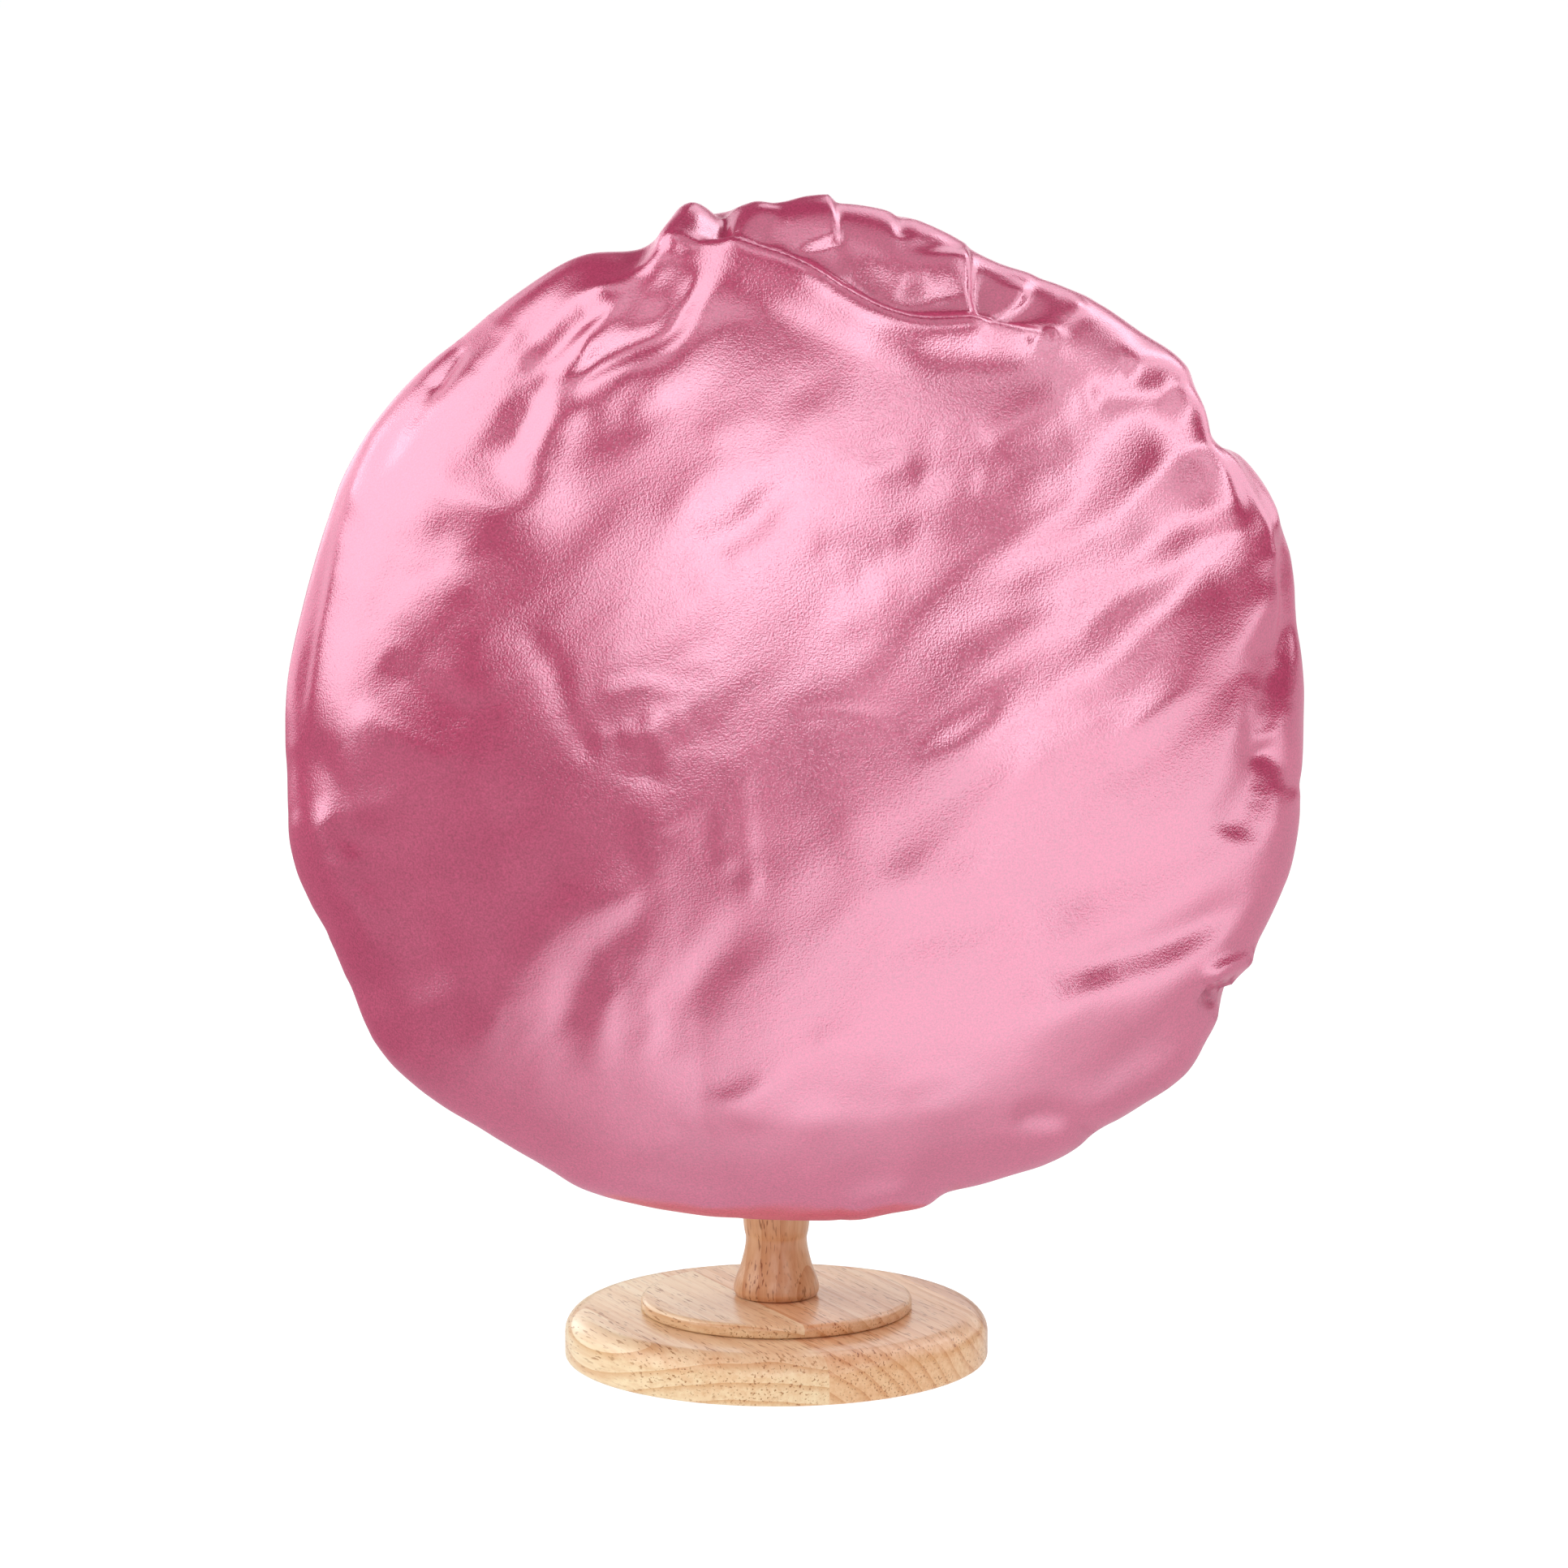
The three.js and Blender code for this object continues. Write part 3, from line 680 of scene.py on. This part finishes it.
class Nodes:
    """Adds nodes to a material. A socket is given a number, a colour or another node's output."""

    def __init__(self, name):
        self.material = bpy.data.materials.new(name)
        self.material.use_nodes = True
        self.tree = self.material.node_tree
        self.shader = self.tree.nodes["Principled BSDF"]

    def set(self, node, **inputs):
        for name, value in inputs.items():
            numbered = name[0] == "i" and name[1:].isdigit()
            socket = node.inputs[int(name[1:]) if numbered else name]
            if isinstance(value, bpy.types.NodeSocket):
                self.tree.links.new(value, socket)
            else:
                socket.default_value = value
        return node

    def add(self, kind, settings=(), **inputs):
        node = self.tree.nodes.new("ShaderNode" + kind)
        for name, value in dict(settings).items():
            setattr(node, name, value)
        return self.set(node, **inputs)

    def place(self):
        return self.add("TexCoord").outputs["Object"]

    def stretched(self, place, turn, scale):
        """Places turned about Z and then scaled."""
        turned_place = self.add("VectorRotate", {"rotation_type": "Z_AXIS"}, Vector=place, Angle=turn)
        return self.add("Mapping", Vector=turned_place.outputs[0], Scale=scale).outputs[0]

    def noise(self, place, scale, detail=2.0, roughness=0.5, distortion=0.0):
        inputs = {"Scale": scale, "Detail": detail, "Roughness": roughness, "Distortion": distortion}
        return self.add("TexNoise", Vector=place, **inputs).outputs["Fac"]

    def ramp(self, value, *stops):
        node = self.add("ValToRGB", Fac=value)
        elements = node.color_ramp.elements
        for _ in stops[2:]:
            elements.new(0.5)
        for element, (position, colour) in zip(elements, stops):
            element.position = position
            element.color = (*colour, 1) if hasattr(colour, "__len__") else (colour, colour, colour, 1)
        return node.outputs["Color"]

    def mix(self, share, first, second, blend="MIX"):
        node = self.add("Mix", {"data_type": "RGBA", "blend_type": blend})
        self.set(node, i0=share, i6=first, i7=second)
        return node.outputs[2]

    def range(self, value, low, high, to_low, to_high):
        inputs = {"Value": value, "From Min": low, "From Max": high, "To Min": to_low, "To Max": to_high}
        return self.add("MapRange", **inputs).outputs[0]

    def bump(self, height, distance, strength=1.0, normal=None):
        inputs = {"Height": height, "Distance": distance, "Strength": strength}
        if normal is not None:
            inputs["Normal"] = normal
        return self.add("Bump", **inputs).outputs[0]


def satin_material():
    """Pink satin: a bright sheen on a deep base, with the fine grain of its weave."""
    nodes = Nodes("satin")
    place = nodes.place()
    grain = nodes.noise(place, GRAIN_SCALE, 1.0)
    cloud = nodes.noise(place, CLOUD_SCALE, 3.0)
    thread = nodes.noise(nodes.stretched(place, THREAD_TURN, THREAD_SCALE), 1.0, 1.0)
    colour = nodes.mix(nodes.range(cloud, 0.3, 0.7, 0, 1), (*SATIN_DEEP, 1), (*SATIN_LIGHT, 1))
    colour = nodes.mix(1.0, colour, nodes.ramp(grain, *GRAIN_TONES), "MULTIPLY")
    normal = nodes.bump(grain, GRAIN_DEPTH)
    normal = nodes.bump(thread, THREAD_DEPTH, 1.0, normal)
    nodes.set(
        nodes.shader,
        **{
            "Base Color": colour,
            "Roughness": nodes.range(cloud, 0.3, 0.7, *SATIN_ROUGHNESS),
            "Normal": normal,
            "IOR": SATIN_IOR,
            "Specular IOR Level": SATIN_SHINE,
            "Specular Tint": (*SATIN_TINT, 1),
            "Sheen Weight": SHEEN,
            "Sheen Roughness": SHEEN_ROUGHNESS,
            "Sheen Tint": (*SHEEN_TINT, 1),
        },
    )
    return nodes.material


def wood_material(wood):
    """Varnished rubberwood: boards glued side by side, with growth lines, fibres and short dark pores."""
    nodes = Nodes(wood.name)
    place = nodes.place()
    grain_place = nodes.stretched(place, np.radians(wood.grain_turn), (1, 1, 1))
    if wood.upright:
        tipped = nodes.add("VectorRotate", {"rotation_type": "Y_AXIS"}, Vector=place, Angle=np.pi / 2)
        grain_place = tipped.outputs[0]
    across = nodes.add("SeparateXYZ", Vector=grain_place).outputs["Y"]
    board = 0.0  # its number, counted across the grain
    for seam in wood.seams:
        past_seam = nodes.add("Math", {"operation": "GREATER_THAN"}, i0=across, i1=seam * MM).outputs[0]
        board = nodes.add("Math", {"operation": "ADD"}, i0=board, i1=past_seam).outputs[0]
    shift = nodes.add("CombineXYZ", X=board, Y=board, Z=board).outputs[0]
    moved = nodes.add("VectorMath", {"operation": "ADD"}, i0=grain_place, i1=shift).outputs[0]

    def grained(scale):
        return nodes.add("Mapping", Vector=moved, Scale=scale).outputs[0]

    fibre = nodes.noise(grained(FIBRE_SCALE), 1.0, 3.0, 0.65)
    streak = nodes.noise(grained(STREAK_SCALE), 1.0, 3.0, 0.6, 0.6)
    growth = nodes.add(
        "TexWave",
        {"wave_type": "RINGS", "rings_direction": "X", "wave_profile": "SAW"},
        **{
            "Vector": nodes.add("Mapping", Vector=moved, Location=PITH_OFFSET, Scale=(0.25, 1, 1)).outputs[0],
            "Scale": GROWTH_SCALE,
            "Distortion": 6.0,
            "Detail": 2.0,
            "Detail Scale": 0.35,
        },
    ).outputs["Fac"]
    pore = nodes.noise(grained(PORE_SCALE), 1.0, 1.0)
    pore_zone = nodes.noise(grained(PORE_ZONE_SCALE), 1.0, 2.0)
    pore_depth = nodes.range(pore, 0.6, 0.68, 0, 1)
    pore_share = nodes.range(pore_zone, 0.38, 0.6, 0.25, 1)
    pore_mark = nodes.add("Math", {"operation": "MULTIPLY"}, i0=pore_depth, i1=pore_share).outputs[0]

    tones = [(*tone, 1) for tone in wood.tones]
    colour = tones[0]
    for i, tone in enumerate(tones[1:]):
        share = nodes.range(board, i + 0.4, i + 0.6, 0, 1)
        colour = nodes.mix(share, colour, tone)
    colour = nodes.mix(nodes.range(streak, 0.35, 0.7, 0, 0.8), colour, (*WOOD_PINK, 1), "MULTIPLY")
    colour = nodes.mix(nodes.range(growth, 0.6, 1.0, 0, 0.75), colour, (*WOOD_DARK, 1), "MULTIPLY")
    colour = nodes.mix(nodes.range(fibre, 0.4, 0.7, 0, 0.5), colour, (*WOOD_DARK, 1), "MULTIPLY")
    colour = nodes.mix(pore_mark, colour, (*WOOD_PORE, 1), "MULTIPLY")
    hollow = nodes.range(pore_mark, 0, 1, 1, 0)  # low in the pores
    normal = nodes.bump(hollow, PORE_DEPTH, 0.6)
    nodes.set(
        nodes.shader,
        **{
            "Base Color": colour,
            "Roughness": nodes.range(fibre, 0.3, 0.7, 0.3, 0.42),
            "Normal": normal,
            "Coat Weight": VARNISH,
            "Coat Roughness": VARNISH_ROUGHNESS,
        },
    )
    return nodes.material


def make_camera():
    camera = bpy.data.cameras.new("camera")
    camera.lens = LENS
    camera.sensor_width = SENSOR
    camera.clip_end = 200
    obj = bpy.data.objects.new("camera", camera)
    obj.location = CAMERA_PLACE
    obj.rotation_euler = (np.radians(90 - CAMERA_PITCH), 0, 0)
    bpy.context.scene.collection.objects.link(obj)
    bpy.context.scene.camera = obj


def make_lights():
    for light in LIGHTS:
        turn, rise = np.radians(light.azimuth), np.radians(light.elevation)
        way = Vector((np.sin(turn) * np.cos(rise), -np.cos(turn) * np.cos(rise), np.sin(rise)))
        lamp = bpy.data.lights.new(light.name, "AREA")
        lamp.shape = "RECTANGLE"
        lamp.size, lamp.size_y = light.width, light.height
        lamp.energy = light.radiance * light.width * light.height * np.pi
        obj = bpy.data.objects.new(light.name, lamp)
        obj.location = LIGHT_AIM + way * light.distance
        aim = (-way).to_track_quat("-Z", "Y")
        obj.rotation_euler = (aim @ Quaternion((0, 0, 1), np.radians(light.roll))).to_euler()
        obj.visible_camera = False
        bpy.context.scene.collection.objects.link(obj)
    world = bpy.data.worlds.new("world")
    world.use_nodes = True
    world.node_tree.nodes["Background"].inputs["Color"].default_value = (1, 1, 1, 1)
    world.node_tree.nodes["Background"].inputs["Strength"].default_value = WORLD_GREY
    bpy.context.scene.world = world


def make_floor():
    """A pale, glowing floor, and just under it one that only gloss reflects, whose glow is painted light:
    brighter to the right, and dimmed near the stand as painted shade of the bonnet.
    """
    size = FLOOR_SIZE
    for name, height in (("floor", 0), ("painted_glow_floor", -GLOSS_FLOOR_DEPTH)):
        seen = height == 0
        corners = [(-size, -size, height), (size, -size, height), (size, size, height), (-size, size, height)]
        floor = new_object(name, corners, [(0, 1, 2, 3)])
        nodes = Nodes(name)
        glow = FLOOR_GLOW
        if not seen:
            # Painted light: this sheet's glow, seen only in gloss, rises to the right across the slant
            split = nodes.add("SeparateXYZ", Vector=nodes.place())
            x, y = split.outputs["X"], split.outputs["Y"]
            across = nodes.add("Math", {"operation": "MULTIPLY_ADD"}, i0=y, i1=GLOSS_SLANT, i2=x).outputs[0]
            across = nodes.range(across, *GLOSS_FADE, *GLOSS_PAINTED_GLOW)
            # Painted shade: the glow dims near and behind the stand, as under the bonnet
            painted_shade = nodes.range(y, *PAINTED_SHADE_FADE, 1, PAINTED_SHADE_SHARE)
            glow = nodes.add("Math", {"operation": "MULTIPLY"}, i0=across, i1=painted_shade).outputs[0]
        nodes.set(
            nodes.shader,
            **{
                "Base Color": FLOOR_PAINT,
                "Roughness": 0.8,
                "Emission Color": (1, 1, 1, 1),
                "Emission Strength": glow,
            },
        )
        floor.data.materials.append(nodes.material)
        floor.visible_camera = seen
        floor.visible_diffuse = seen
        floor.visible_glossy = not seen


def dress(piece, nodes, material):
    """The piece stands for these CAD nodes, in the given material."""
    piece.data.materials.append(material)
    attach(piece, "root")
    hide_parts(*nodes)


bpy.context.scene.view_settings.view_transform = "Standard"
make_camera()
make_lights()
make_floor()

satin = satin_material()
crown = make_crown()
dress(crown, ("crown_front", "crown_back"), satin)
dress(make_band(), ("band",), satin)

dress(make_base(), ("stand_base",), wood_material(BASE_WOOD))
dress(make_step(), ("stand_step",), wood_material(STEP_WOOD))
dress(make_post(), ("stand_post",), wood_material(POST_WOOD))
dress(make_head(), ("stand_head",), wood_material(HEAD_WOOD))
